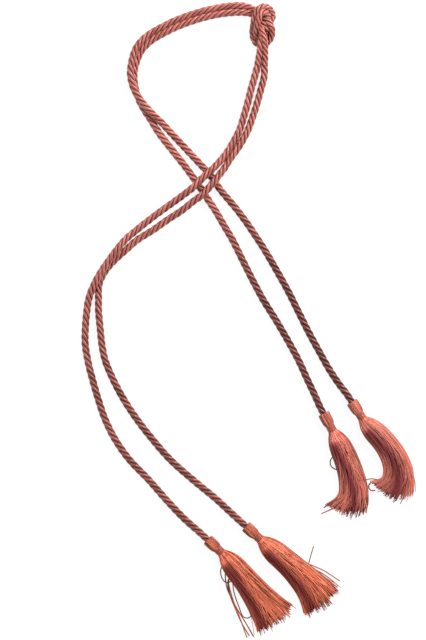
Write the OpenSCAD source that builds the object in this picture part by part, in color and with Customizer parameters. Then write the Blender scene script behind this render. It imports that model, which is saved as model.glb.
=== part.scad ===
// Double honour cord: two twisted silky cords tied together in one overhand knot at the
// back of the neck, with a tassel on each of the four ends, laid out flat with the two
// sides crossed. The underside rests on Z = 0, +Y points towards the knot.

/* [Cord] */
// Diameter of each twisted cord
cord_d = 8.4; // [8:0.1:8.4]
// Diameter of the cord where the knot squeezes it
knot_cord_d = 5.4; // [5:0.1:5.4]
// Sides of the plain cord tubes
cord_sides = 10; // [8:2:12]
// Space between the two tube ends at each bend of a leg
bend_gap = 0.4; // [0.3:0.1:1]

/* [Tassel head] */
// Diameter of the folded yarn head at its mouth
head_d = 14.4; // [13.6:0.1:15]
// Diameter of the head where it meets the neck
head_end_d = 13; // [12.4:0.1:13.6]
// Length of the head
head_len = 15; // [13:0.5:17]
// Radial space between the rounded cord end and the cup in the head
cup_gap = 0.4; // [0.3:0.1:0.6]
// Diameter of the tied yarn core inside the head
core_d = 7; // [6:0.5:8]

/* [Neck binding] */
// Outside diameter of the wound thread at the neck
neck_d = 11.4; // [10:0.2:12]
// Length of the wound thread along the neck
neck_len = 9; // [7:0.5:11]

/* [Skirt] */
// Diameter of the yarn bundle where it leaves the neck
skirt_top_d = 10.4; // [9:0.2:11]
// Space between the neck and the top of the skirt
skirt_gap = 0.4; // [0.3:0.1:1]
// Height of the skirt above its tapered thickness where it is fullest
skirt_rise = 3.2; // [2:0.2:5]
// Thickness of the fringe at its cut ends
fringe_thickness = 8; // [6:0.5:10]

/* [Hidden] */

$fn = 48;
cord_r = cord_d / 2;
cup_r = cord_r + cup_gap;
head_z = head_d / 2;
dome_r = skirt_top_d / 2;
skirt_start = head_len + neck_len + skirt_gap + dome_r;

cord_colour = [0.72, 0.36, 0.31];
tassel_colour = [0.84, 0.45, 0.33];
binding_colour = [0.80, 0.38, 0.30];
core_colour = [0.55, 0.22, 0.18];

// Height of a cord's centre line where it lies on the surface
lie = cord_r;

// Moves everything so that the whole object is centred over the origin
frame_shift = [2.2, -3.9, 0];

// Middle of the knot; the two knot routes are given from here
knot_at = [16, 353, 0];

// Cord A through the knot, from the left side of the neck loop to the right side
knot_route_a = [
    [-28, 16.5, lie], [-22, 16.5, 4], [-15.5, 15.5, 3.2], [-9, 12.5, 3.2], [-4, 8.5, 6],
    [0.5, 4, 11], [4.6, -2, 11], [6, -8.5, 4.6], [4, -14, 2.8], [-0.5, -16, 2.8],
    [-5.5, -15, 4.4], [-8.2, -10, 8], [-7.8, -3, 13], [-6, 4.5, 17], [-4.3, 11.5, 19.5],
    [-1.5, 15.5, 19], [2.6, 15.5, 15.5], [6, 12.5, 9.5], [6, 8, 3.6], [1, 5, 2.8],
    [-3.5, 1.2, 2.8], [-4, -3.5, 4.6], [-1.7, -8, 10], [-2, -15, 13], [-3, -24, 12],
    [-4.3, -35, 7.5], [-6.5, -47, lie]
];

// Cord B through the knot, outside cord A on the turns
knot_route_b = [
    [-28, 25.3, lie], [-22, 24.5, 4], [-15.5, 22.5, 3.2], [-8.5, 19, 3.2], [-3, 14.5, 5],
    [1.5, 9.5, 9.6], [7, 4, 13.6], [10.8, -2.5, 12], [11, -10.5, 8], [7.6, -17.7, 4.5],
    [1, -22, 2.8], [-6, -21.6, 2.8], [-11, -15.2, 3.2], [-12.2, -7, 5], [-11.4, 1, 10],
    [-10, 9.7, 15], [-7, 17.8, 18], [-1, 22.6, 17], [5.7, 22.2, 13], [10.6, 17.5, 8],
    [11.8, 11, 3.8], [8, 3.5, 2.8], [2.4, 0.5, 3.8], [-2.2, 0, 9], [-2, -5, 14.2],
    [0.6, -13, 15.5], [2.6, -24, 12.5], [2.8, -36, 7.5], [2.2, -48, lie]
];

// From the knot down the right side, over the crossing, to the bends of legs 1 and 2
shoulder_route_1 = [
    [6, 292, lie], [2, 278, lie], [-2, 262, lie], [-6.5, 246, lie], [-12, 229, lie],
    [-21.6, 211, 4.6], [-33.4, 194, 7.5], [-46, 180, 12.8], [-56, 171, 13], [-67, 160, 12.6],
    [-87, 145, 7.5], [-104, 133, 4.6], [-120, 121, lie], [-135, 109, 5], [-149, 97, 8],
    [-159, 85, 11], [-168, 73, 12.2], [-177, 60, 12.4], [-184, 48, 12], [-189, 37, 9.6],
    [-193, 25, 6], [-195, 13, 4.4]
];
shoulder_route_2 = [
    [17.6, 292, lie], [14, 278, lie], [9.6, 262, lie], [4.6, 246, lie], [-2.4, 227, lie],
    [-11.4, 210, 4.4], [-22.4, 194, 5.5], [-32, 180, 10], [-43, 166, 13.4], [-56, 151, 13],
    [-67, 143, 10.6], [-81, 132, 6.8], [-98, 121, 4.5], [-115, 109, lie], [-134, 97, lie],
    [-149, 84, lie], [-162, 72, lie], [-173, 59, lie], [-179, 47, lie], [-181, 36, lie],
    [-181, 24, lie], [-181, 12, lie]
];

// From the knot round the left side, under the crossing, to the bends of legs 3 and 4
shoulder_route_3 = [
    [-31, 368, lie], [-59, 362, lie], [-88, 351, lie], [-104, 343, lie], [-118, 333, lie],
    [-127.5, 323.5, lie], [-134, 311, lie], [-138, 297, lie], [-137, 281, lie],
    [-133, 266, lie], [-126, 252, lie], [-117, 238, lie], [-108, 224, lie],
    [-91, 202, lie], [-79, 187, lie], [-68, 172, lie], [-56, 155, lie], [-49, 144, lie],
    [-41, 132, lie], [-34, 120, lie], [-27, 108, lie]
];
shoulder_route_4 = [
    [-31, 377, lie], [-59, 371, lie], [-88, 361, lie], [-104, 353, lie], [-117, 346, 4.4],
    [-127, 338.5, 5.6], [-136.5, 326, 8.6], [-141, 312, 10.6], [-143, 297, 12],
    [-140, 281, 12.8], [-132, 266, 13], [-120, 252, 11.8], [-106, 238, 7.6],
    [-93, 224, 4.8], [-80, 210, lie], [-66, 195, lie], [-52, 180, lie], [-43, 169, lie],
    [-35, 157, lie], [-25, 145, lie], [-15, 133, lie], [-6, 121, lie]
];

// Each leg from its bend to just short of its tassel; its first point is the bend
leg_routes = [
    [[-197, -10, lie], [-197, -29, lie], [-194, -48, lie], [-188, -72, lie],
     [-181, -96, lie], [-173, -119, lie], [-161, -143, lie], [-144, -167, lie],
     [-121, -191, lie], [-99, -216, lie], [-77, -239, 4.8]],
    [[-179, -10, lie], [-177, -29, lie], [-173, -48, lie], [-163, -72, lie],
     [-150, -96, lie], [-134, -120, lie], [-116, -143, lie], [-95, -167, lie],
     [-68, -191, lie], [-39, -215, lie], [-24, -229, 5.2]],
    [[-20, 96, lie], [-8, 72, lie], [4, 48, lie], [17, 24, lie], [32, 0, lie],
     [46, -24, lie], [59, -48, lie], [70, -72, lie], [79, -91, 5]],
    [[3, 108, lie], [18, 85, lie], [32, 61, lie], [46, 36, lie], [58, 12, lie],
     [70, -12, lie], [83, -36, lie], [96, -59, lie], [108, -77, 5.2]]
];

// One row per tassel: mouth X, mouth Y, heading of the head, heading of the top of the
// skirt, turn of the skirt towards its ends, skirt length, body width, width at the ends
tassels = [
    [-50, -263, -43, -50, -6, 97, 29, 54],
    [-4, -247, -42, -40, -17, 99, 29, 48],
    [89, -112, -62, -64, -42, 95, 29, 42],
    [123, -98, -57, -43, -72, 97, 28, 46]
];

// The cord runs straight for this far into each head
approach = 11;

function unit(v) = v / norm(v);
function along(heading) = [cos(heading), sin(heading), 0];
function mouth(i) = [tassels[i][0], tassels[i][1], head_z];
function head_heading(i) = tassels[i][2];
function skirt_heading(i, t) = tassels[i][3] + tassels[i][4] * t * t;
function skirt_len(i) = tassels[i][5];

// A neck stretch stops just short of the rounded start of its leg
function bend_stop(leg) = leg[0] - unit(leg[1] - leg[0]) * (cord_r + bend_gap);
function knot_points(route) = [for (p = route) knot_at + p];
knot_a = knot_points(knot_route_a);
knot_b = knot_points(knot_route_b);
function last(list, before) = list[len(list) - 1 - before];
function leg_points(i) =
    concat(leg_routes[i], [mouth(i) - along(head_heading(i)) * approach, mouth(i)]);

// Direction of a route at one of its points, from the points on either side
function heading_at(points, i) = unit(points[i + 1] - points[i - 1]);

// One ring of a tube, square to the route at a point
function ring(centre, direction, radius, sides) =
    let (side = unit(cross(direction, [0, 0, 1])), up = cross(side, direction))
    [for (k = [0:sides - 1])
        centre + radius * (cos(360 * k / sides) * side + sin(360 * k / sides) * up)];

// Faces of a closed solid through equal rings, with flat ends
function ring_faces(rings, sides) = concat(
    [[for (k = [0:sides - 1]) k]],
    [for (r = [0:rings - 2], k = [0:sides - 1])
        [r * sides + k, (r + 1) * sides + k,
         (r + 1) * sides + (k + 1) % sides, r * sides + (k + 1) % sides]],
    [[for (k = [sides - 1:-1:0]) (rings - 1) * sides + k]]
);

module ring_solid(rings) {
    sides = len(rings[0]);
    translate(frame_shift)
        polyhedron(points = [for (r = rings) each r],
                   faces = ring_faces(len(rings), sides), convexity = 6);
}

// Plain round cord along a route, with a radius for each point. The points before and
// after it only set the directions of the two end faces, so that neighbours meet squarely
function tube_rings(before, points, after, radii) =
    let (all = concat([before], points, [after]))
    [for (i = [0:len(points) - 1])
        ring(points[i], heading_at(all, i + 1), radii[i], cord_sides)];

function even_radii(points) = [for (p = points) cord_r];

// The knot squeezes the cord between the two ends of its route
function knot_radii(points) =
    [for (i = [0:len(points) - 1])
        let (from_end = min(i, len(points) - 1 - i))
        from_end == 0 ? cord_r : from_end == 1 ? (cord_r + knot_cord_d / 2) / 2
                                               : knot_cord_d / 2];

// Rounded start of a leg, centred on its bend
function round_start(points) =
    let (direction = unit(points[1] - points[0]))
    [for (angle = [20, 45, 70])
        ring(points[0] - direction * cord_r * cos(angle), direction,
             cord_r * sin(angle), cord_sides)];

module knot_cord(route, before, after) {
    points = knot_points(route);
    color(cord_colour)
        ring_solid(tube_rings(before, points, after, knot_radii(points)));
}

// From one end of the knot, whose last two points are given, to the bend of a leg
module shoulder_cord(inside_knot, knot_end, route, leg) {
    points = concat([knot_end], route, [bend_stop(leg)]);
    color(cord_colour)
        ring_solid(tube_rings(inside_knot, points, leg[0], even_radii(points)));
}

module leg_cord(i) {
    points = leg_points(i);
    before = points[0] * 2 - points[1];
    after = mouth(i) + along(head_heading(i));
    color(cord_colour)
        ring_solid(concat(round_start(points),
                          tube_rings(before, points, after, even_radii(points))));
}

// Places a solid drawn along +Z from the mouth of a head
module at_mouth(i) {
    translate(frame_shift + mouth(i)) rotate([0, 90, head_heading(i)]) children();
}

// Whipped, rounded end of the cord, seated in the cup of the head
module cord_end(i) {
    color(core_colour)
        at_mouth(i)
            rotate_extrude()
                polygon(concat([[0, 0]],
                    [for (a = [0:10:90]) cord_r * [cos(a), sin(a)]]));
}

// Outline of the cup from its deepest used point to the mouth
function cup_arc(from_r, to_r) =
    let (a0 = acos(from_r / cup_r), a1 = acos(to_r / cup_r))
    [for (k = [0:6]) let (a = a0 + (a1 - a0) * k / 6) cup_r * [cos(a), sin(a)]];

// Sleeve of folded yarn round the end of the cord
module tassel_head(i) {
    core_r = core_d / 2;
    rim = 0.8;
    color(tassel_colour)
        at_mouth(i)
            rotate_extrude()
                polygon(concat(cup_arc(core_r, cup_r), [
                    [head_d / 2 - rim, 0], [head_d / 2, rim],
                    [head_d / 2, head_len * 0.45], [head_end_d / 2, head_len - rim],
                    [head_end_d / 2 - rim, head_len], [core_r, head_len]
                ]));
}

// Tied yarn ends inside the head and the neck
module tassel_core(i) {
    core_r = core_d / 2;
    color(core_colour)
        at_mouth(i)
            rotate_extrude()
                polygon(concat(cup_arc(0, core_r), [
                    [core_r, head_len + neck_len], [0, head_len + neck_len]
                ]));
}

// Thread wound tightly round the neck
module tassel_binding(i) {
    edge = 0.7;
    color(binding_colour)
        at_mouth(i)
            translate([0, 0, head_len])
                rotate_extrude()
                    polygon([
                        [core_d / 2, 0], [neck_d / 2 - edge, 0], [neck_d / 2, edge],
                        [neck_d / 2, neck_len - edge], [neck_d / 2 - edge, neck_len],
                        [core_d / 2, neck_len]
                    ]);
}

// Half width and half height of a skirt at a share t of its length; it is at the width of
// its body within a fifth of its length
function skirt_half_width(i, t) =
    let (body = tassels[i][6] / 2, ends = tassels[i][7] / 2)
    dome_r + (body - dome_r) * pow(sin(90 * min(1, t / 0.2)), 0.7)
           + (ends - body) * pow(t, 2.5);
function skirt_half_height(t) =
    dome_r + (fringe_thickness / 2 - dome_r) * t + skirt_rise * sin(180 * pow(t, 0.55));
function skirt_height_at(t) =
    skirt_half_height(t) + (head_z - dome_r) * max(0, 1 - t / 0.2);

// Centre of the skirt at each step, turning a little more at every step
skirt_steps = 12;
function skirt_centre(i, k) =
    k == 0 ? mouth(i) + along(head_heading(i)) * skirt_start
           : skirt_centre(i, k - 1)
             + along(skirt_heading(i, (k - 0.5) / skirt_steps)) * skirt_len(i) / skirt_steps;

function oval_ring(centre, heading, half_width, half_height, sides) =
    let (side = [-sin(heading), cos(heading), 0])
    [for (k = [0:sides - 1])
        centre - half_width * cos(360 * k / sides) * side
               + [0, 0, half_height * sin(360 * k / sides)]];

// Fringe of loose yarns as one closed solid, lying on the surface
module tassel_skirt(i) {
    sides = 20;
    top = skirt_heading(i, 0);
    dome = [for (angle = [20, 45, 70])
        oval_ring(skirt_centre(i, 0) - along(top) * dome_r * cos(angle), top,
                  dome_r * sin(angle), dome_r * sin(angle), sides)];
    body = [for (k = [0:skirt_steps])
        let (t = k / skirt_steps, c = skirt_centre(i, k))
        oval_ring([c[0], c[1], skirt_height_at(t)], skirt_heading(i, t),
                  skirt_half_width(i, t), skirt_half_height(t), sides)];
    color(tassel_colour) ring_solid(concat(dome, body));
}

knot_cord(knot_route_a, shoulder_route_3[0], shoulder_route_1[0]);  // cord_a_knot
knot_cord(knot_route_b, shoulder_route_4[0], shoulder_route_2[0]);  // cord_b_knot

shoulder_cord(last(knot_a, 1), last(knot_a, 0), shoulder_route_1, leg_routes[0]);  // cord_a_shoulder_1
shoulder_cord(last(knot_b, 1), last(knot_b, 0), shoulder_route_2, leg_routes[1]);  // cord_b_shoulder_2
shoulder_cord(knot_a[1], knot_a[0], shoulder_route_3, leg_routes[2]);  // cord_a_shoulder_3
shoulder_cord(knot_b[1], knot_b[0], shoulder_route_4, leg_routes[3]);  // cord_b_shoulder_4

leg_cord(0);  // cord_a_leg_1
leg_cord(1);  // cord_b_leg_2
leg_cord(2);  // cord_a_leg_3
leg_cord(3);  // cord_b_leg_4

for (i = [0:3]) {
    cord_end(i);
    tassel_head(i);
    tassel_core(i);
    tassel_binding(i);
    tassel_skirt(i);
}
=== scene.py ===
"""Looks of the double honour cord: twisted silky cords, their knot and the four tassels.

Everything is in metres in the CAD frame. Each cord is swept whole, from the mouth of one tassel
head through the knot to the mouth of the other, and then cut into pieces, so that its plies run
on from piece to piece.
"""

import math

import bpy
import numpy as np
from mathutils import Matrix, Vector


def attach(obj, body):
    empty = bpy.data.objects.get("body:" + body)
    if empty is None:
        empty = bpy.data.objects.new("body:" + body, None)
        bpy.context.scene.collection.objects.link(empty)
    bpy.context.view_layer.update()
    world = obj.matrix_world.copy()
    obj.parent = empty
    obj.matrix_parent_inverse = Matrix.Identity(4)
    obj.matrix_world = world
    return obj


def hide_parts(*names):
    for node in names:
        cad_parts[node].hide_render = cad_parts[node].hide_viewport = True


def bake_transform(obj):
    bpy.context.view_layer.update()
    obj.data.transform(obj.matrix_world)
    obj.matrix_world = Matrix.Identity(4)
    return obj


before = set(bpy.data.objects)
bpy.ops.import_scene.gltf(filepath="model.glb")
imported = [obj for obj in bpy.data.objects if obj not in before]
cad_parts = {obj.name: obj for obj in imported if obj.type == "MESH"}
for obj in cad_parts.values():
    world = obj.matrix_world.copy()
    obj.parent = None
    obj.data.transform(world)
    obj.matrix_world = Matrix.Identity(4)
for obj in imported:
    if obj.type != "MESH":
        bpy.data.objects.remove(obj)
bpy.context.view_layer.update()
MM = 0.001

# ---------------------------------------------------------------- sizes, as in the CAD
# Two things differ from it. In the knot the cords are 7.6 mm thick here and 5.4 mm there, and
# five points of the third shoulder route lie up to 1.8 mm nearer to the cord beside it.
SHIFT = np.array([2.2, -3.9, 0.0])          # centres the object over the origin
KNOT_AT = np.array([16.0, 353.0, 0.0])      # middle of the knot before that shift
CORD_R = 4.2                                # radius of a cord
KNOT_R = 3.8                                # and where the knot squeezes it
LIE = CORD_R                                # height of a cord's centre on the surface
HEAD_R, HEAD_LEN = 7.2, 15.0
NECK_R, NECK_LEN = 5.7, 9.0
DOME_R = 5.2                                # yarn bundle where it leaves the neck
SKIRT_GAP = 0.4                             # between the neck and the skirt's solid
SKIRT_START = HEAD_LEN + NECK_LEN + SKIRT_GAP + DOME_R
SKIRT_RISE, FRINGE = 3.2, 8.0
APPROACH, MOUTH_DEPTH = 11.0, 2.0            # how far a cord runs straight to a mouth and in

KNOT_ROUTE_A = [
    (-28, 16.5, LIE), (-22, 16.5, 4), (-15.5, 15.5, 3.2), (-9, 12.5, 3.2), (-4, 8.5, 6),
    (0.5, 4, 11), (4.6, -2, 11), (6, -8.5, 4.6), (4, -14, 2.8), (-0.5, -16, 2.8),
    (-5.5, -15, 4.4), (-8.2, -10, 8), (-7.8, -3, 13), (-6, 4.5, 17), (-4.3, 11.5, 19.5),
    (-1.5, 15.5, 19), (2.6, 15.5, 15.5), (6, 12.5, 9.5), (6, 8, 3.6), (1, 5, 2.8),
    (-3.5, 1.2, 2.8), (-4, -3.5, 4.6), (-1.7, -8, 10), (-2, -15, 13), (-3, -24, 12),
    (-4.3, -35, 7.5), (-6.5, -47, LIE),
]
KNOT_ROUTE_B = [
    (-28, 25.3, LIE), (-22, 24.5, 4), (-15.5, 22.5, 3.2), (-8.5, 19, 3.2), (-3, 14.5, 5),
    (1.5, 9.5, 9.6), (7, 4, 13.6), (10.8, -2.5, 12), (11, -10.5, 8), (7.6, -17.7, 4.5),
    (1, -22, 2.8), (-6, -21.6, 2.8), (-11, -15.2, 3.2), (-12.2, -7, 5), (-11.4, 1, 10),
    (-10, 9.7, 15), (-7, 17.8, 18), (-1, 22.6, 17), (5.7, 22.2, 13), (10.6, 17.5, 8),
    (11.8, 11, 3.8), (8, 3.5, 2.8), (2.4, 0.5, 3.8), (-2.2, 0, 9), (-2, -5, 14.2),
    (0.6, -13, 15.5), (2.6, -24, 12.5), (2.8, -36, 7.5), (2.2, -48, LIE),
]
SHOULDER_ROUTES = [
    [(6, 292, LIE), (2, 278, LIE), (-2, 262, LIE), (-6.5, 246, LIE), (-12, 229, LIE),
     (-21.6, 211, 4.6), (-33.4, 194, 7.5), (-46, 180, 12.8), (-56, 171, 13), (-67, 160, 12.6),
     (-87, 145, 7.5), (-104, 133, 4.6), (-120, 121, LIE), (-135, 109, 5), (-149, 97, 8),
     (-159, 85, 11), (-168, 73, 12.2), (-177, 60, 12.4), (-184, 48, 12), (-189, 37, 9.6),
     (-193, 25, 6), (-195, 13, 4.4)],
    [(17.6, 292, LIE), (14, 278, LIE), (9.6, 262, LIE), (4.6, 246, LIE), (-2.4, 227, LIE),
     (-11.4, 210, 4.4), (-22.4, 194, 5.5), (-32, 180, 10), (-43, 166, 13.4), (-56, 151, 13),
     (-67, 143, 10.6), (-81, 132, 6.8), (-98, 121, 4.5), (-115, 109, LIE), (-134, 97, LIE),
     (-149, 84, LIE), (-162, 72, LIE), (-173, 59, LIE), (-179, 47, LIE), (-181, 36, LIE),
     (-181, 24, LIE), (-181, 12, LIE)],
    [(-31, 368, LIE), (-59, 362, LIE), (-88.2, 351.5, LIE), (-104.4, 343.7, LIE),
     (-119, 334.5, LIE), (-128.7, 324.5, LIE), (-134.8, 311.6, LIE), (-138, 297, LIE),
     (-137, 281, LIE),
     (-133, 266, LIE), (-126, 252, LIE), (-117, 238, LIE), (-108, 224, LIE),
     (-91, 202, LIE), (-79, 187, LIE), (-68, 172, LIE), (-56, 155, LIE), (-49, 144, LIE),
     (-41, 132, LIE), (-34, 120, LIE), (-27, 108, LIE)],
    [(-31, 377, LIE), (-59, 371, LIE), (-88, 361, LIE), (-104, 353, LIE), (-117, 346, 4.4),
     (-127, 338.5, 5.6), (-136.5, 326, 8.6), (-141, 312, 10.6), (-143, 297, 12),
     (-140, 281, 12.8), (-132, 266, 13), (-120, 252, 11.8), (-106, 238, 7.6),
     (-93, 224, 4.8), (-80, 210, LIE), (-66, 195, LIE), (-52, 180, LIE), (-43, 169, LIE),
     (-35, 157, LIE), (-25, 145, LIE), (-15, 133, LIE), (-6, 121, LIE)],
]
LEG_ROUTES = [
    [(-197, -10, LIE), (-197, -29, LIE), (-194, -48, LIE), (-188, -72, LIE),
     (-181, -96, LIE), (-173, -119, LIE), (-161, -143, LIE), (-144, -167, LIE),
     (-121, -191, LIE), (-99, -216, LIE), (-77, -239, 4.8)],
    [(-179, -10, LIE), (-177, -29, LIE), (-173, -48, LIE), (-163, -72, LIE),
     (-150, -96, LIE), (-134, -120, LIE), (-116, -143, LIE), (-95, -167, LIE),
     (-68, -191, LIE), (-39, -215, LIE), (-24, -229, 5.2)],
    [(-20, 96, LIE), (-8, 72, LIE), (4, 48, LIE), (17, 24, LIE), (32, 0, LIE),
     (46, -24, LIE), (59, -48, LIE), (70, -72, LIE), (79, -91, 5)],
    [(3, 108, LIE), (18, 85, LIE), (32, 61, LIE), (46, 36, LIE), (58, 12, LIE),
     (70, -12, LIE), (83, -36, LIE), (96, -59, LIE), (108, -77, 5.2)],
]
# Mouth X and Y, heading of the head, heading of the top of the skirt, turn of the skirt
# towards its ends, skirt length, body width, width at the ends
TASSELS = [
    (-50, -263, -43, -50, -6, 97, 29, 54),
    (-4, -247, -42, -40, -17, 99, 29, 48),
    (89, -112, -62, -64, -42, 95, 29, 42),
    (123, -98, -57, -43, -72, 97, 28, 46),
]

# ---------------------------------------------------------------- detail
PLIES = 4                 # plies in a cord
LAY = 32.0                # length in which a ply goes once round, left-handed
PLY_SIDES = 24
PLY_STEP = 0.9            # distance between rings
YARN_RIDGES = 12          # fine yarns seen on the surface of a ply
RIDGE = 0.018             # their height, as a share of the ply's radius
COUNTER_TWIST = 0.12      # turn of those yarns round the ply, radians a millimetre
GROOVE_START, GROOVE_WIDTH = 0.80, 0.95     # where the painted shade of a groove begins round a ply
PLUMP = 1.08              # the twisted plies stand a little proud of the plain cord
END_TAPER, TAPER_LEN = 0.06, 12.0           # they draw in towards the mouth of a head
LEFT_LEG_DARK, RIGHT_LEG_DARK = 0.28, 0.50  # painted shade: legs this much darker than the loop
LEFT_LEG_AT, LEFT_LEG_FADE = 380.0, 150.0   # where that begins along the cord, and over what
RIGHT_LEG_AT, RIGHT_LEG_FADE = 300.0, 200.0     # length; on the right, past the knot
KNOT_LIGHT = 0.12         # painted light: how much lighter the knot is
KNOT_FADE = 18.0          # length over which thickness and lightness change at the knot
PIECE_OVERLAP = PLY_STEP * 1.6  # how far the pieces of a cord run past their joins
STRAND_SPACING = 40.0     # keeps the streaks of one strand apart from the next one's
# Cords that lie closer than NESTLE_REACH press together, by up to NESTLE each and no closer
# than NESTLE_GAP
NESTLE, NESTLE_GAP, NESTLE_REACH, NESTLE_FADE = 0.5, 7.8, 9.9, 1.2


def along(heading):
    """Unit vector of a heading in degrees, in the plane of the surface."""
    a = math.radians(heading)
    return np.array([math.cos(a), math.sin(a), 0.0])


def unit(v):
    """The same directions at length 1."""
    return v / np.maximum(np.linalg.norm(v, axis=-1, keepdims=True), 1e-12)


def smooth(x):
    """From 0 to 1 with a soft start and end."""
    x = np.clip(x, 0, 1)
    return x * x * (3 - 2 * x)


def mouth(i):
    """Middle of the mouth of a head."""
    return np.array([TASSELS[i][0], TASSELS[i][1], HEAD_R])


def smooth_route(points, step):
    """Evenly spaced points on a smooth curve through the route points."""
    p = np.array(points, float)
    p = np.vstack([2 * p[0] - p[1], p, 2 * p[-1] - p[-2]])
    knots = np.r_[0, np.cumsum(np.sqrt(np.linalg.norm(np.diff(p, axis=0), axis=1)))]
    fine = []
    for i in range(1, len(p) - 2):
        t0, t1, t2, t3 = knots[i - 1:i + 3]
        t = np.linspace(t1, t2, 24, endpoint=False)[:, None]
        a1 = (t1 - t) / (t1 - t0) * p[i - 1] + (t - t0) / (t1 - t0) * p[i]
        a2 = (t2 - t) / (t2 - t1) * p[i] + (t - t1) / (t2 - t1) * p[i + 1]
        a3 = (t3 - t) / (t3 - t2) * p[i + 1] + (t - t2) / (t3 - t2) * p[i + 2]
        b1 = (t2 - t) / (t2 - t0) * a1 + (t - t0) / (t2 - t0) * a2
        b2 = (t3 - t) / (t3 - t1) * a2 + (t - t1) / (t3 - t1) * a3
        fine.append((t2 - t) / (t2 - t1) * b1 + (t - t1) / (t2 - t1) * b2)
    fine = np.vstack(fine + [p[-2:-1]])
    s = np.r_[0, np.cumsum(np.linalg.norm(np.diff(fine, axis=0), axis=1))]
    even = np.linspace(0, s[-1], int(round(s[-1] / step)) + 1)
    return np.stack([np.interp(even, s, fine[:, k]) for k in range(3)], axis=1), even


def carried_frame(line):
    """Two directions square to a line, carried along it without twist."""
    t = unit(np.gradient(line, axis=0))
    n = np.zeros_like(line)
    n[0] = unit(np.cross(np.cross(t[0], [0, 0, 1]), t[0]))
    for i in range(1, len(line)):
        n[i] = n[i - 1] - np.dot(n[i - 1], t[i]) * t[i]
        n[i] /= np.linalg.norm(n[i])
    return n, np.cross(t, n)


def sweep(lines, radii, sides, up, turn=0.0, ridges=0, ridge=0.0):
    """Tubes round lines of shape (count, rings, 3), as points (count, rings, sides, 3)."""
    t = unit(np.gradient(lines, axis=1))
    out = unit(up - (up * t).sum(-1, keepdims=True) * t)
    side = np.cross(t, out)
    a = 2 * np.pi * np.arange(sides) / sides
    spin = (a + np.broadcast_to(turn, lines.shape[:2])[..., None])[..., None]
    ring = np.cos(spin) * out[:, :, None] + np.sin(spin) * side[:, :, None]
    wave = 1 + ridge * np.cos(ridges * a)
    r = np.broadcast_to(radii, lines.shape[:2])[..., None] * wave
    return lines[:, :, None] + r[..., None] * ring


def tube_faces(count, rings, sides, offset):
    """Quads of the tube walls, and a polygon for each end, on points of its own."""
    base = offset + np.arange(count)[:, None, None] * rings * sides
    ring = np.arange(rings - 1)[None, :, None] * sides
    k = np.arange(sides)[None, None, :]
    a = base + ring + k
    b = base + ring + (k + 1) % sides
    quads = np.stack([a, b, b + sides, a + sides], axis=-1).reshape(-1, 4)
    caps = offset + count * rings * sides + np.arange(2 * count * sides).reshape(-1, sides)
    caps[:count] = caps[:count, ::-1]
    return quads, caps


def with_ends(values):
    """Values at every point of the tubes, then again at their first and last rings."""
    tail = values.shape[3:]
    return np.concatenate([values.reshape(-1, *tail), values[:, 0].reshape(-1, *tail),
                           values[:, -1].reshape(-1, *tail)])


class Strands:
    """Collects tubes with the attributes that the materials read: "yarn", a place in
    millimetres along and round each strand; "shade", its lightness from 0 to 1, its own tone
    with painted light and shade added to it; and one of painted shade, from 0 on the outside
    to 1 deep between its neighbours."""

    def __init__(self):
        self.points, self.yarn, self.shade, self.painted_shade = [], [], [], []
        self.quads, self.caps, self.total = [], [], 0

    def add(self, lines, radii, sides, up, shade, painted_shade=0.0, place=None, **how):
        lines = np.asarray(lines, float)
        count, rings = lines.shape[:2]
        v = sweep(lines, radii, sides, up, **how)
        s = np.linalg.norm(np.diff(lines, axis=1), axis=2).cumsum(1)
        s = np.concatenate([np.zeros((count, 1)), s], axis=1)
        r = np.broadcast_to(radii, (count, rings))[:, :, None]
        a = 2 * np.pi * np.arange(sides) / sides
        yarn = np.zeros(v.shape)
        order = len(self.points) + np.arange(count)
        s = s if place is None else np.broadcast_to(place, s.shape)
        yarn[..., 0] = s[:, :, None] + STRAND_SPACING * order[:, None, None]
        yarn[..., 1] = r * np.cos(a)
        yarn[..., 2] = r * np.sin(a)
        shade, painted_shade = np.asarray(shade, float), np.asarray(painted_shade, float)
        shade = shade[..., None] if shade.ndim else shade
        shade = shade[..., None] if shade.ndim == 2 else shade
        quads, caps = tube_faces(count, rings, sides, self.total)
        self.points.append(with_ends(v))
        self.yarn.append(with_ends(yarn))
        self.shade.append(with_ends(np.broadcast_to(shade, v.shape[:3])))
        self.painted_shade.append(with_ends(np.broadcast_to(painted_shade, v.shape[:3])))
        self.quads.append(quads)
        self.caps.append(caps)
        self.total += count * (rings + 2) * sides

    def make(self, name, material):
        """One mesh object of everything added, in metres."""
        points = (np.vstack(self.points) + SHIFT) * MM
        corners = np.concatenate([q.ravel() for q in self.quads] + [c.ravel() for c in self.caps])
        sizes = np.concatenate(
            [np.full(len(q), 4) for q in self.quads]
            + [np.full(len(c), c.shape[1]) for c in self.caps])
        starts = np.r_[0, np.cumsum(sizes)[:-1]]
        mesh = bpy.data.meshes.new(name)
        mesh.vertices.add(len(points))
        mesh.vertices.foreach_set("co", points.ravel())
        mesh.loops.add(len(corners))
        mesh.loops.foreach_set("vertex_index", corners.astype(np.int32))
        mesh.polygons.add(len(sizes))
        mesh.polygons.foreach_set("loop_start", starts.astype(np.int32))
        mesh.polygons.foreach_set("use_smooth", np.ones(len(sizes), bool))
        mesh.update(calc_edges=True)
        mesh.validate()
        place = mesh.attributes.new("yarn", "FLOAT_VECTOR", "POINT")
        place.data.foreach_set("vector", np.vstack(self.yarn).ravel())
        for key, values in (("shade", self.shade), ("painted_shade", self.painted_shade)):
            mesh.attributes.new(key, "FLOAT", "POINT").data.foreach_set(
                "value", np.concatenate(values))
        mesh.materials.append(material)
        obj = bpy.data.objects.new(name, mesh)
        bpy.context.scene.collection.objects.link(obj)
        return obj


# ---------------------------------------------------------------- materials
def attribute(nodes, name):
    """A node that reads one of the attributes of the strands."""
    node = nodes.new("ShaderNodeAttribute")
    node.attribute_name = name
    return node


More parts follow.
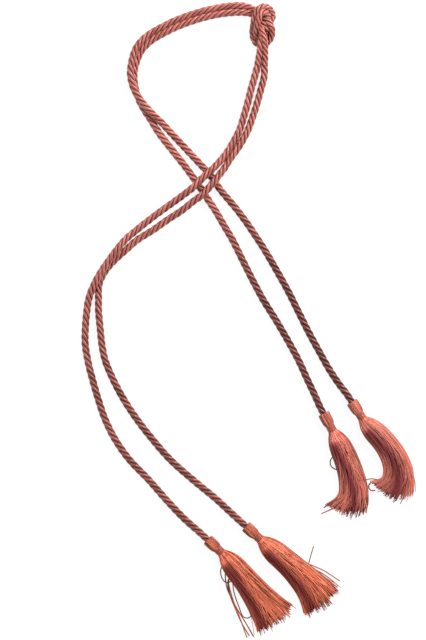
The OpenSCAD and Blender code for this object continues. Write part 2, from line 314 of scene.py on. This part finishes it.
def spread(nodes, links, value, low, high):
    """A value from 0 to 1, spread over a range."""
    node = nodes.new("ShaderNodeMapRange")
    node.inputs["To Min"].default_value = low
    node.inputs["To Max"].default_value = high
    links.new(value, node.inputs["Value"])
    return node.outputs["Result"]


def silk(name, deep, main, light, painted_shade, rough, grain, relief_height=0.3):
    """Silky yarn: fine streaks along each yarn, a lightness for each that holds its own tone and
    painted light and shade, painted shade in a dark colour deep between the yarns, and a soft gloss."""
    material = bpy.data.materials.new(name)
    material.use_nodes = True
    nodes, links = material.node_tree.nodes, material.node_tree.links
    shader = nodes["Principled BSDF"]
    yarn = attribute(nodes, "yarn")
    place = nodes.new("ShaderNodeMapping")
    place.inputs["Scale"].default_value = (0.06, grain, grain)
    links.new(yarn.outputs["Vector"], place.inputs["Vector"])
    streak = nodes.new("ShaderNodeTexNoise")
    streak.inputs["Scale"].default_value = 1.0
    streak.inputs["Detail"].default_value = 3.0
    streak.inputs["Roughness"].default_value = 0.6
    links.new(place.outputs["Vector"], streak.inputs["Vector"])
    ramp = nodes.new("ShaderNodeValToRGB")
    ramp.color_ramp.elements[0].position = 0.32
    ramp.color_ramp.elements[0].color = (*deep, 1)
    ramp.color_ramp.elements[1].position = 0.70
    ramp.color_ramp.elements[1].color = (*light, 1)
    middle = ramp.color_ramp.elements.new(0.50)
    middle.color = (*main, 1)
    links.new(streak.outputs["Fac"], ramp.inputs["Fac"])
    tint = nodes.new("ShaderNodeHueSaturation")
    shade = attribute(nodes, "shade")
    links.new(spread(nodes, links, shade.outputs["Fac"], 0.25, 1.7), tint.inputs["Value"])
    links.new(ramp.outputs["Color"], tint.inputs["Color"])
    # Painted shade: the colour is mixed towards the dark colour where strands lie deep between
    # neighbours
    mix = nodes.new("ShaderNodeMix")
    mix.data_type = "RGBA"
    mix.inputs["B"].default_value = (*painted_shade, 1)
    shade_mask = attribute(nodes, "painted_shade")
    links.new(shade_mask.outputs["Fac"], mix.inputs["Factor"])
    links.new(tint.outputs["Color"], mix.inputs["A"])
    links.new(mix.outputs["Result"], shader.inputs["Base Color"])
    dull = nodes.new("ShaderNodeMath")
    dull.operation = "MULTIPLY_ADD"
    dull.inputs[1].default_value = 0.45
    links.new(shade_mask.outputs["Fac"], dull.inputs[0])
    links.new(spread(nodes, links, streak.outputs["Fac"], rough - 0.06, rough + 0.08),
              dull.inputs[2])
    links.new(dull.outputs["Value"], shader.inputs["Roughness"])
    relief = nodes.new("ShaderNodeBump")
    relief.inputs["Strength"].default_value = relief_height
    relief.inputs["Distance"].default_value = 0.0001
    links.new(streak.outputs["Fac"], relief.inputs["Height"])
    links.new(relief.outputs["Normal"], shader.inputs["Normal"])
    shader.inputs["Specular IOR Level"].default_value = 0.31
    shader.inputs["Specular Tint"].default_value = (1.0, 0.52, 0.46, 1)
    return material


# The fourth colour of each silk is painted shade, mixed in deep between the plies and the yarns
CORD_SILK = silk("cord_silk", (0.085, 0.018, 0.014), (0.15, 0.042, 0.034),
                 (0.20, 0.082, 0.070), (0.030, 0.003, 0.003), 0.34, 1.6)
# The left pair of tassels is more orange, the right pair more pink
ORANGE_SILK = silk("orange_tassel_silk", (0.125, 0.020, 0.011), (0.235, 0.052, 0.026),
                   (0.26, 0.094, 0.052), (0.055, 0.004, 0.004), 0.36, 0.5, 0.12)
PINK_SILK = silk("pink_tassel_silk", (0.130, 0.024, 0.020), (0.205, 0.054, 0.039),
                 (0.235, 0.098, 0.072), (0.055, 0.005, 0.008), 0.36, 0.5, 0.12)
ROSE_SILK = silk("rose_head_silk", (0.128, 0.023, 0.017), (0.215, 0.056, 0.036),
                 (0.240, 0.100, 0.066), (0.055, 0.005, 0.006), 0.36, 0.5, 0.12)
TASSEL_SILKS = [ORANGE_SILK, ORANGE_SILK, PINK_SILK, PINK_SILK]
HEAD_SILKS = [ORANGE_SILK, ORANGE_SILK, ROSE_SILK, ROSE_SILK]
THREAD_SILK = silk("thread_silk", (0.080, 0.012, 0.009), (0.14, 0.028, 0.018),
                   (0.22, 0.070, 0.048), (0.025, 0.003, 0.003), 0.26, 1.5)
# Painted shade: the tied core and the whipped cord end lie inside the head and mouth, so their yarn
# is painted far darker
SHADED_CORE_SILK = silk("shaded_core_silk", (0.030, 0.006, 0.005), (0.050, 0.010, 0.008),
                 (0.075, 0.018, 0.014), (0.012, 0.002, 0.002), 0.50, 1.5)

# ---------------------------------------------------------------- camera, floor and light
# The photograph frames the object from straight above, a little to the right of its middle
FRAMING = Vector((-0.0416, -0.0033, 0.004))
VIEW_HEIGHT = 0.768         # metres of surface that the picture's height covers
LENS, SENSOR = 200.0, 36.0

camera_data = bpy.data.cameras.new("camera")
camera_data.sensor_fit = "VERTICAL"
camera_data.sensor_height = SENSOR
camera_data.lens = LENS
camera = bpy.data.objects.new("camera", camera_data)
camera.location = FRAMING + Vector((0, 0, VIEW_HEIGHT * LENS / SENSOR))
bpy.context.scene.collection.objects.link(camera)
bpy.context.scene.camera = camera


def floor():
    """A plain pale table top under the object."""
    bpy.ops.mesh.primitive_plane_add(size=6.0, location=(0, 0, 0))
    plane = bpy.context.object
    plane.name = "floor"
    material = bpy.data.materials.new("floor_paint")
    material.use_nodes = True
    nodes, links = material.node_tree.nodes, material.node_tree.links
    grain = nodes.new("ShaderNodeTexNoise")
    grain.inputs["Scale"].default_value = 2.5
    ramp = nodes.new("ShaderNodeValToRGB")
    ramp.color_ramp.elements[0].color = (0.93, 0.925, 0.91, 1)
    ramp.color_ramp.elements[1].color = (0.95, 0.948, 0.94, 1)
    links.new(grain.outputs["Fac"], ramp.inputs["Fac"])
    links.new(ramp.outputs["Color"], nodes["Principled BSDF"].inputs["Base Color"])
    nodes["Principled BSDF"].inputs["Roughness"].default_value = 0.9
    nodes["Principled BSDF"].inputs["Specular IOR Level"].default_value = 0.1
    # The camera sees it almost evenly white, as the photograph's background is
    path = nodes.new("ShaderNodeLightPath")
    seen = nodes.new("ShaderNodeMath")
    seen.operation = "MULTIPLY"
    seen.inputs[1].default_value = 0.88
    links.new(path.outputs["Is Camera Ray"], seen.inputs[0])
    white = nodes.new("ShaderNodeEmission")
    white.inputs["Strength"].default_value = 0.96
    mix = nodes.new("ShaderNodeMixShader")
    links.new(seen.outputs["Value"], mix.inputs["Fac"])
    links.new(nodes["Principled BSDF"].outputs["BSDF"], mix.inputs[1])
    links.new(white.outputs["Emission"], mix.inputs[2])
    links.new(mix.outputs["Shader"], nodes["Material Output"].inputs["Surface"])
    plane.data.materials.append(material)


def area_light(name, place, size, watts, colour):
    """A square soft box that faces the middle of the object."""
    data = bpy.data.lights.new(name, "AREA")
    data.size = size
    data.energy = watts
    data.color = colour
    lamp = bpy.data.objects.new(name, data)
    lamp.location = place
    lamp.rotation_euler = (-Vector(place)).to_track_quat("-Z", "Y").to_euler()
    bpy.context.scene.collection.objects.link(lamp)


floor()
area_light("key", (1.25, 1.25, 1.45), 0.8, 172, (1.0, 0.985, 0.96))
area_light("fill", (-1.6, 0.4, 1.8), 1.6, 45, (0.97, 0.98, 1.0))
world = bpy.data.worlds.new("studio")
world.use_nodes = True
world.node_tree.nodes["Background"].inputs["Color"].default_value = (1.0, 1.0, 1.0, 1)
world.node_tree.nodes["Background"].inputs["Strength"].default_value = 0.95
bpy.context.scene.world = world
bpy.context.scene.view_settings.view_transform = "Standard"
bpy.context.scene.view_settings.look = "None"


# ---------------------------------------------------------------- cords
def cord_line(first, knot_route, second):
    """The whole centreline of a cord from the mouth of one head to the mouth of another,
    with its radius, and the distances at which the knot begins and ends."""
    knot = [tuple(KNOT_AT + np.array(p)) for p in knot_route]

    def side(i):
        h = along(TASSELS[i][2])
        tail = [tuple(mouth(i) - h * APPROACH), tuple(mouth(i)), tuple(mouth(i) + h * MOUTH_DEPTH)]
        return SHOULDER_ROUTES[i] + LEG_ROUTES[i] + tail

    points = side(first)[::-1] + knot[::-1] + side(second)
    line, s = smooth_route(points, PLY_STEP)

    def where(p):
        return s[np.argmin(np.linalg.norm(line - np.array(p), axis=1))]

    enters, leaves = where(knot[-1]), where(knot[0])
    squeeze = smooth(np.minimum(s - enters, leaves - s) / KNOT_FADE)
    radius = CORD_R + (KNOT_R - CORD_R) * squeeze
    radius = radius * (1 - END_TAPER * smooth(1 - np.minimum(s, s[-1] - s) / TAPER_LEN))
    line[:, 2] = np.maximum(line[:, 2], radius * PLUMP)
    return line, s, radius, enters, leaves


def nestled(line, other):
    """A cord's centreline pressed a little towards the other cord where they lie together."""
    apart = other[None] - line[:, None]
    near = np.argmin(np.linalg.norm(apart, axis=2), axis=1)
    way = apart[np.arange(len(line)), near]
    gap = np.linalg.norm(way, axis=1, keepdims=True)
    press = np.clip((gap - NESTLE_GAP) / 2, 0, NESTLE) * smooth((NESTLE_REACH - gap) / NESTLE_FADE)
    return line + way / gap * press


def cord_pieces(letter, line, s, radius, enters, leaves, seed):
    """Sweeps a cord's plies and cuts it into its left stretch, its knot and its right one."""
    n, b = carried_frame(line)
    share = 1 / (1 + 1 / math.sin(math.pi / PLIES))
    rng = np.random.default_rng(seed)
    lay = -2 * np.pi / LAY * CORD_R / radius
    twist = np.r_[0, np.cumsum((lay[1:] + lay[:-1]) / 2 * np.diff(s))]
    # Painted shade on the legs and painted light on the knot, both taken off the plies' lightness
    darker = (LEFT_LEG_DARK * smooth((LEFT_LEG_AT - s) / LEFT_LEG_FADE)
              + RIGHT_LEG_DARK * smooth((s - leaves - RIGHT_LEG_AT) / RIGHT_LEG_FADE)
              - KNOT_LIGHT * smooth(np.minimum(s - enters, leaves - s) / KNOT_FADE))
    plies, ups, shades = [], [], []
    for k in range(PLIES):
        a = (twist + 2 * np.pi * k / PLIES)[:, None]
        out = np.cos(a) * n + np.sin(a) * b
        plies.append(line + out * (radius * PLUMP * (1 - share))[:, None])
        ups.append(out)
        drift = 0.08 * np.sin(s / rng.uniform(12, 40) + rng.uniform(0, 6))
        shades.append(rng.uniform(0.42, 0.58) + drift - darker)
    # Painted shade in the grooves: each ply is darkened on the side that faces its neighbours
    spin = 2 * np.pi * np.arange(PLY_SIDES) / PLY_SIDES + COUNTER_TWIST * s[:, None]
    painted_shade = smooth((GROOVE_START - np.cos(spin)) / GROOVE_WIDTH)
    plies, ups, shades = np.array(plies), np.array(ups), np.array(shades)
    made = []
    stretches = (("left", -np.inf, enters), ("knotted", enters, leaves),
                 ("right", leaves, np.inf))
    for name, lo, hi in stretches:
        rows = np.where((s >= lo - PIECE_OVERLAP) & (s <= hi + PIECE_OVERLAP))[0]
        strands = Strands()
        strands.add(plies[:, rows], radius[rows] * share * PLUMP, PLY_SIDES, ups[:, rows],
                    shades[:, rows], painted_shade[rows], place=s[rows], turn=COUNTER_TWIST * s[rows],
                    ridges=YARN_RIDGES, ridge=RIDGE)
        piece = strands.make(f"cord_{letter}_{name}", CORD_SILK)
        path = (line[rows] + SHIFT) * MM
        if name == "left":
            path = path[::-1]
        made.append((piece, path))
    return made


def blend_at_bend(piece):
    """Applies a cord piece's transform to its mesh."""
    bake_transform(piece)


cord_a, cord_b = cord_line(0, KNOT_ROUTE_A, 2), cord_line(1, KNOT_ROUTE_B, 3)
line_a, line_b = nestled(cord_a[0], cord_b[0]), nestled(cord_b[0], cord_a[0])
for letter, first, second, line, rest, seed in (("a", 0, 2, line_a, cord_a[1:], 11),
                                                ("b", 1, 3, line_b, cord_b[1:], 12)):
    (left, left_path), (knot, knot_path), (right, right_path) = cord_pieces(
        letter, line, *rest, seed)
    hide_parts(f"cord_{letter}_shoulder_{first + 1}", f"cord_{letter}_leg_{first + 1}")
    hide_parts(f"cord_{letter}_shoulder_{second + 1}",
                f"cord_{letter}_leg_{second + 1}")
    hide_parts(f"cord_{letter}_knot")
    blend_at_bend(left)
    blend_at_bend(right)
    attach(knot, "neck_loop")


# ---------------------------------------------------------------- tassels
HEAD_YARNS = 40
HEAD_YARN_R = 0.60
OUTER_YARNS, INNER_YARNS, CROSSING_YARNS = 300, 140, 26
SKIRT_RINGS = 26
YARN_SIDES = 6
LOCKS = 9                 # loose groups of yarns across a skirt
BUNDLES = 17              # bundles of yarns of one lightness across it
BUNDLING = 0.35           # how far the yarns of a bundle draw together
# Per tassel: how far its tips splay, how far they lean to the left, and how much longer the
# yarns are on the right than on the left, all as shares
TIPS = [(0.07, 0.02, 0.02), (0.08, -0.04, 0.03), (0.19, -0.16, 0.05), (0.19, -0.18, 0.06)]
TIP_CROWN = [0.0, 0.02, 0.02, 0.09]     # how much longer they are in the middle

# Yarns that have strayed from a skirt: its number, lightness, radius, and their course
STRAYS = [
    (0, 0.18, 0.78, [(-30, -292, 4), (-33.4, -296, 1.6), (-34.8, -303, 0.6), (-31.4, -312, 0.5),
                     (-27, -315, 0.6), (-22, -313, 2.5)]),
    (0, 0.18, 0.84, [(-27, -297, 4), (-29, -304, 1.2), (-27, -321, 0.6), (-20, -337, 0.5),
                    (-12, -351, 0.5), (-4, -364, 0.6), (5, -380, 0.5)]),
    (0, 0.34, 0.84, [(-21, -304, 3), (-25, -313, 0.8), (-21, -332, 0.6), (-15, -348, 0.6),
                    (-9, -364, 1.2), (-3, -381, 0.6)]),
    (0, 0.28, 0.84, [(-23, -306, 3), (-26, -314, 1.2), (-23, -331, 1.4), (-17, -346, 1.4),
                    (-11, -360, 1.2), (0, -379, 1.2)]),
    (0, 0.16, 0.74, [(-20, -315, 3), (-19, -325, 1.2), (-13, -343, 0.8), (-7, -356, 0.6),
                    (-1, -357, 0.5), (3, -352, 0.8), (0, -343, 2.5)]),
    (1, 0.30, 0.84, [(62, -291, 5), (73, -293, 3), (80, -296, 1.2), (89, -300, 0.6),
                    (97, -305, 0.6), (109, -313, 0.5)]),
    (1, 0.34, 0.78, [(66, -298, 4), (78, -299, 1.6), (88, -304, 0.8), (98, -311, 0.6),
                     (107, -319, 0.6)]),
    (1, 0.10, 0.74, [(69, -302, 4), (71, -293, 2), (73.5, -283, 0.8), (77, -271, 0.5)]),
    (2, 0.30, 0.78, [(106, -163, 5), (100, -164, 2), (97, -169, 0.6), (98, -175, 0.6),
                     (104, -179, 1.6), (110, -180, 4)]),
    (2, 0.30, 0.84, [(115, -207, 3), (110, -214, 1.6), (103, -219, 0.8), (95, -221, 0.5),
                    (89, -225, 0.5)]),
    (2, 0.45, 0.84, [(117, -211, 3), (112, -219, 1.6), (104, -224, 0.8), (93, -229, 0.6),
                    (86, -232, 0.5)]),
    (3, 0.30, 0.74, [(160, -190, 4), (155, -191, 2), (147, -190, 0.8), (140, -191, 0.5)]),
    (3, 0.35, 0.84, [(162, -192, 4), (157, -191, 2), (148, -193, 1), (143, -199, 0.6),
                    (146, -204, 0.6), (151, -204, 1)]),
]


def local_frame(i):
    """Origin and axes of a head: along it, across it to the left, and up."""
    h = along(TASSELS[i][2])
    return mouth(i), h, np.array([-h[1], h[0], 0.0]), np.array([0.0, 0.0, 1.0])


def head(i):
    """Sleeve of yarns that fold over the rim of the mouth and run down to the neck."""
    origin, h, left, up = local_frame(i)
    rng = np.random.default_rng(100 + i)
    profile = np.array([
        (7.5, 5.5), (4.0, 5.6), (1.4, 5.7), (0.3, 5.85), (-0.15, 6.2), (0.2, 6.6), (1.2, 6.75),
        (4.0, 6.75), (7.5, 6.65), (10.5, 6.4), (13.0, 6.0), (14.6, 5.3), (16.0, 4.9)])
    line, _ = smooth_route(np.c_[profile, np.zeros(len(profile))], 0.8)
    a = 2 * np.pi * (np.arange(HEAD_YARNS) + rng.uniform(-0.18, 0.18, HEAD_YARNS)) / HEAD_YARNS
    drift = rng.normal(0, 0.012, HEAD_YARNS)[:, None] * (line[:, 0] - 4)[None, :] / 4
    a = a[:, None] + drift
    radial = np.cos(a)[..., None] * up + np.sin(a)[..., None] * left
    reach = line[None, :, 1] + rng.normal(0, 0.07, (HEAD_YARNS, 1))
    reach = np.minimum(reach, HEAD_R - HEAD_YARN_R)
    lines = origin + line[None, :, 0, None] * h + reach[..., None] * radial
    strands = Strands()
    outward = unit(np.gradient(lines, axis=1))
    strands.add(lines, HEAD_YARN_R, YARN_SIDES, np.cross(outward, np.cross(radial, h)),
                rng.normal(0.40, 0.22, HEAD_YARNS)[:, None] * np.ones_like(lines[..., 0]))
    wall = np.array([(8.5, 5.4), (0.8, 5.75), (0.45, 6.0), (0.9, 6.35), (8.0, 6.3), (14.5, 5.2)])
    ring_a = 2 * np.pi * np.arange(49) / 48
    rounds = np.cos(ring_a)[:, None] * up + np.sin(ring_a)[:, None] * left
    for (x0, r0), (x1, r1) in zip(wall[:-1], wall[1:]):
        for t in np.linspace(0, 1, max(2, int(np.hypot(x1 - x0, r1 - r0) / 0.7))):
            x, r = x0 + (x1 - x0) * t, r0 + (r1 - r0) * t
            strands.add((origin + x * h + r * rounds)[None], 0.5, 5, h, 0.3)
    piece = strands.make(f"tassel_{i + 1}_folded_head", HEAD_SILKS[i])
    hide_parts(f"tassel_{i + 1}_head")
    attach(piece, f"tassel_{i + 1}")


def binding(i):
    """Thread wound round the neck in close turns."""
    origin, h, left, up = local_frame(i)
    thread_r, pitch = 0.34, 0.62
    turns = NECK_LEN / pitch
    a = np.linspace(0, 2 * np.pi * turns, int(turns * 40))
    x = HEAD_LEN + thread_r + (NECK_LEN - 2 * thread_r) * a / a[-1]
    r = NECK_R - thread_r - 0.25 * np.cos(np.pi * (x - HEAD_LEN) / NECK_LEN) ** 6
    radial = np.cos(a)[:, None] * up + np.sin(a)[:, None] * left
    strands = Strands()
    strands.add((origin + x[:, None] * h + r[:, None] * radial)[None], thread_r, 6, h, 0.45)
    inner = np.linspace(HEAD_LEN - 0.5, HEAD_LEN + NECK_LEN + 0.2, 14)
    strands.add((origin + inner[:, None] * h)[None], NECK_R - 0.75, 32, up, 0.3)
    piece = strands.make(f"tassel_{i + 1}_neck_winding", THREAD_SILK)
    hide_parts(f"tassel_{i + 1}_binding")
    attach(piece, f"tassel_{i + 1}")


def core(i):
    """Tied yarn ends packed inside the head."""
    origin, h, left, up = local_frame(i)
    strands = Strands()
    rings = 12
    for count, r in ((1, 0.0), (6, 1.1), (12, 2.2)):
        a = 2 * np.pi * np.arange(count)[:, None] / count + np.linspace(0, 0.7, rings)
        x = np.linspace(5.4, HEAD_LEN - 1.0, rings)
        radial = np.cos(a)[..., None] * up + np.sin(a)[..., None] * left
        strands.add(origin + x[None, :, None] * h + r * radial, 0.6, 8, up, 0.4)
    a = np.linspace(0, 2 * np.pi * 9, 320)
    x = 5.8 + (HEAD_LEN - 7.0) * a / a[-1]
    radial = np.cos(a)[:, None] * up + np.sin(a)[:, None] * left
    strands.add((origin + x[:, None] * h + 3.0 * radial)[None], 0.48, 6, h, 0.6)
    piece = strands.make(f"tassel_{i + 1}_tied_core", SHADED_CORE_SILK)
    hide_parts(f"tassel_{i + 1}_core")
    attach(piece, f"tassel_{i + 1}")


def whipped_end(i):
    """Thread wound over the rounded end of the cord, inside the mouth."""
    origin, h, left, up = local_frame(i)
    turns, steps, thread_at, dome_r = 7, 300, 3.6, 3.5
    a = np.linspace(0, 2 * np.pi * turns, steps)
    dome = np.linspace(0.12, 0.5 * np.pi - 0.12, steps)
    x = thread_at * np.sin(dome)
    r = thread_at * np.cos(dome)
    radial = np.cos(a)[:, None] * up + np.sin(a)[:, None] * left
    strands = Strands()
    strands.add((origin + x[:, None] * h + r[:, None] * radial)[None], 0.42, 6, h, 0.5)
    rounds = np.linspace(0.0, 0.5 * np.pi - 0.05, 14)
    strands.add((origin + dome_r * np.sin(rounds)[:, None] * h)[None], dome_r * np.cos(rounds),
                28, up, 0.3)
    piece = strands.make(f"cord_whipping_{i + 1}", SHADED_CORE_SILK)
    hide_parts(f"cord_end_{i + 1}")
    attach(piece, f"leg_{i + 1}")


NECK_OVERLAP = 3.0        # the skirt's yarns start this far inside the neck
NECK_YARN_R = 5.2         # and spread from this radius
# Painted shade in a streak down each skirt, on the side away from the light: its place across at
# the top and at the ends, from -1 on the right of the heading to 1 on the left, its half width
# and its depth
DARK_SIDES = [(-0.55, -0.68), (-0.60, -0.60), (-0.50, 0.05), (-0.55, 0.0)]
DARK_WIDTH, DARKEST = 0.56, 0.96
FLARE_LEAD = 0.06         # share of the length before the dome's middle where they spread
THIN_YARN, THICK_YARN = 0.42, 0.60
OUTER_FROM, INNER_TO = 0.86, 0.84       # shares of the half width where those yarns lie
BUNDLED_WITHIN = 0.9      # yarns further out than this share keep to the outline


def skirt_axis(i, reach):
    """Centreline of a skirt out to a reach beyond 1, with headings, from inside the neck."""
    h, top, turn, length = TASSELS[i][2:6]
    steps = 160
    t = np.linspace(0, reach, steps)
    heading = top + turn * t * t
    d = np.array([along(a) for a in heading])
    gap = (t[1] - t[0]) * length
    centre = mouth(i) + along(h) * SKIRT_START + np.vstack(
        [np.zeros(3), np.cumsum((d[1:] + d[:-1]) / 2 * gap, axis=0)])
    before = np.linspace(-(DOME_R + SKIRT_GAP + NECK_OVERLAP) / length, 0, 12, endpoint=False)
    lead = mouth(i) + along(h) * SKIRT_START + before[:, None] * length * along(h)
    t = np.r_[before, t]
    ease = np.clip(1 + before * length / (DOME_R + SKIRT_GAP), 0, 1)
    heading = np.r_[h + (top - h) * ease, heading]
    return t, np.vstack([lead, centre]), heading


def skirt_half_width(i, t):
    """Half width of a skirt at a share of its length."""
    body, ends = TASSELS[i][6] / 2, TASSELS[i][7] / 2
    flare = np.clip((t + FLARE_LEAD) / (0.2 + FLARE_LEAD), 0, 1)
    grow = (body - NECK_YARN_R) * np.sin(np.pi / 2 * flare) ** 0.7
    return NECK_YARN_R + grow + (ends - body) * np.clip(t, 0, None) ** 2.5


def skirt_half_height(t):
    """Half height of a skirt at a share of its length."""
    t0 = np.clip(t, 0, None)
    rise = SKIRT_RISE * np.sin(np.pi * np.minimum(t0, 1) ** 0.55)
    return DOME_R - 0.3 * (t < 0) + (FRINGE / 2 - DOME_R) * np.minimum(t0, 1) + rise


def loose_yarns(strands, i):
    """Adds the strayed yarns of a skirt."""
    for owner, shade, radius, course in STRAYS:
        if owner == i:
            line, _ = smooth_route(course, 1.0)
            line[:, 2] = np.maximum(line[:, 2], radius + 0.05)
            strands.add(line[None], radius, YARN_SIDES, np.array([0, 0, 1.0]), shade)


def skirt(i):
    """Loose yarns of one tassel, crossing a little, spread by the surface, ragged at the ends."""
    rng = np.random.default_rng(500 + i)
    count = OUTER_YARNS + INNER_YARNS + CROSSING_YARNS
    t_axis, centre, heading = skirt_axis(i, 1.3)
    outer = np.arange(count) < OUTER_YARNS
    at_rim = rng.uniform(OUTER_FROM, 1.0, count)
    within = INNER_TO * np.sqrt(rng.uniform(0, 1, count))
    radius = np.where(outer, at_rim, within)
    angle = rng.uniform(0, 2 * np.pi, count)
    p, q = radius * np.cos(angle), radius * np.sin(angle)
    bundle = np.clip((p + 1) * BUNDLES / 2, 0, BUNDLES - 1).astype(int)
    middle_of = (bundle + 0.5) * 2 / BUNDLES - 1
    aside = np.abs(p - middle_of) * BUNDLES
    locks = rng.uniform(-1, 1, LOCKS)
    lock = np.argmin(np.abs(p[:, None] - locks) + rng.uniform(0, 0.25, (count, LOCKS)), axis=1)
    lock_end, lock_turn = rng.normal(0, 0.028, LOCKS), rng.normal(0, 0.05, LOCKS)
    splaying, lean, longer = TIPS[i]
    end = 0.985 + lock_end[lock] + rng.normal(0, 0.028, count) - longer * p
    end += TIP_CROWN[i] * (1 - p ** 2)
    begin = t_axis[0]
    u = np.linspace(0, 1, SKIRT_RINGS)[None, :]
    t = begin + (end[:, None] - begin) * u
    free = np.clip(t, 0, None)
    over = np.arange(count) >= count - CROSSING_YARNS
    cross = rng.normal(0, np.where(over, 0.55, 0.10))[:, None] * smooth(free)
    gather = (locks[lock] - p)[:, None] * 0.08 * np.sin(np.pi * np.clip(free, 0, 1))
    bundled = (np.abs(p) < BUNDLED_WITHIN)[:, None]
    gather += (middle_of - p)[:, None] * BUNDLING * smooth(free / 0.3) * bundled
    waves = np.zeros((2, count, SKIRT_RINGS))
    for size, low, high in ((0.05, 2, 5), (0.022, 6, 12)):
        rate, phase = rng.uniform(low, high, (2, count, 1)), rng.uniform(0, 6.28, (2, count, 1))
        waves += rng.normal(0, size, (2, count, 1)) * np.sin(rate * free + phase)
    tips = smooth((free - 0.72) / 0.30)
    splay = (rng.normal(lean, splaying, count) + lock_turn[lock])[:, None] * tips
    pp = p[:, None] + gather + cross + waves[0] * free ** 0.5
    qq = q[:, None] * (1 + 2.2 * waves[1])
    norm = np.maximum(1, np.sqrt(pp ** 2 + qq ** 2))
    pp, qq = pp / norm ** 0.8, qq / norm
    pp = np.where(over[:, None], np.clip(pp, -0.92, 0.92), pp)
    qq = np.where(over[:, None], 1.08 * np.sqrt(np.clip(1 - pp ** 2, 0, 1)), qq)
    pp = pp + splay
    yarn_r = rng.uniform(THIN_YARN, THICK_YARN, count)[:, None] * (0.72 + 0.28 * smooth(free / 0.12))
    width = skirt_half_width(i, t) - yarn_r
    height = skirt_half_height(t) - yarn_r
    spine = np.stack([np.interp(t, t_axis, centre[:, k]) for k in range(3)], axis=-1)
    turn = np.radians(np.interp(t, t_axis, heading))
    side = np.stack([-np.sin(turn), np.cos(turn), np.zeros_like(turn)], axis=-1)
    lines = spine + side * (pp * width)[..., None]
    drop = (HEAD_R - DOME_R) * np.clip(1 - free / 0.2, 0, 1)
    middle = np.where(t < 0, HEAD_R, skirt_half_height(t) + drop)
    lines[..., 2] = np.maximum(middle + qq * height, yarn_r + 0.05)
    shade = rng.normal(0.54, 0.06, count) + rng.normal(0, 0.08, LOCKS)[lock]
    # Random tone for each bundle, with painted shade towards the edges of each bundle
    shade += rng.normal(0, 0.15, BUNDLES)[bundle] - 0.14 * aside ** 2
    shade += 0.22 * over - 0.14 * (rng.uniform(0, 1, count) < 0.12)
    # Painted highlight on the bulge of the skirt just below the neck
    painted_highlight = 0.16 * np.exp(-((free - 0.05) / 0.06) ** 2)
    shade = np.clip(shade[:, None] + painted_highlight, 0.08, 1)
    # Painted shade: a streak down the side of the skirt away from the light
    first, last = DARK_SIDES[i]
    across = (pp - first - (last - first) * smooth(free)) / (DARK_WIDTH - 0.22 * smooth(free))
    shade_side = np.exp(-across ** 2) * smooth((free - 0.03) / 0.08)
    # Painted shade on the yarns that lie deep in the bundle, deepened further in that streak
    skirt_shade = smooth((0.94 - np.sqrt(pp ** 2 + qq ** 2)) / 0.55)
    skirt_shade = 1 - (1 - skirt_shade) * (1 - DARKEST * shade_side)
    strands = Strands()
    strands.add(lines, yarn_r * np.where(u > 0.97, 0.8, 1.0), YARN_SIDES,
                np.array([0, 0, 1.0]), shade, skirt_shade[..., None])
    loose_yarns(strands, i)
    piece = strands.make(f"tassel_{i + 1}_yarn_skirt", TASSEL_SILKS[i])
    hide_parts(f"tassel_{i + 1}_skirt")
    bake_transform(piece)


for i in range(4):
    head(i)
    binding(i)
    core(i)
    whipped_end(i)
    skirt(i)
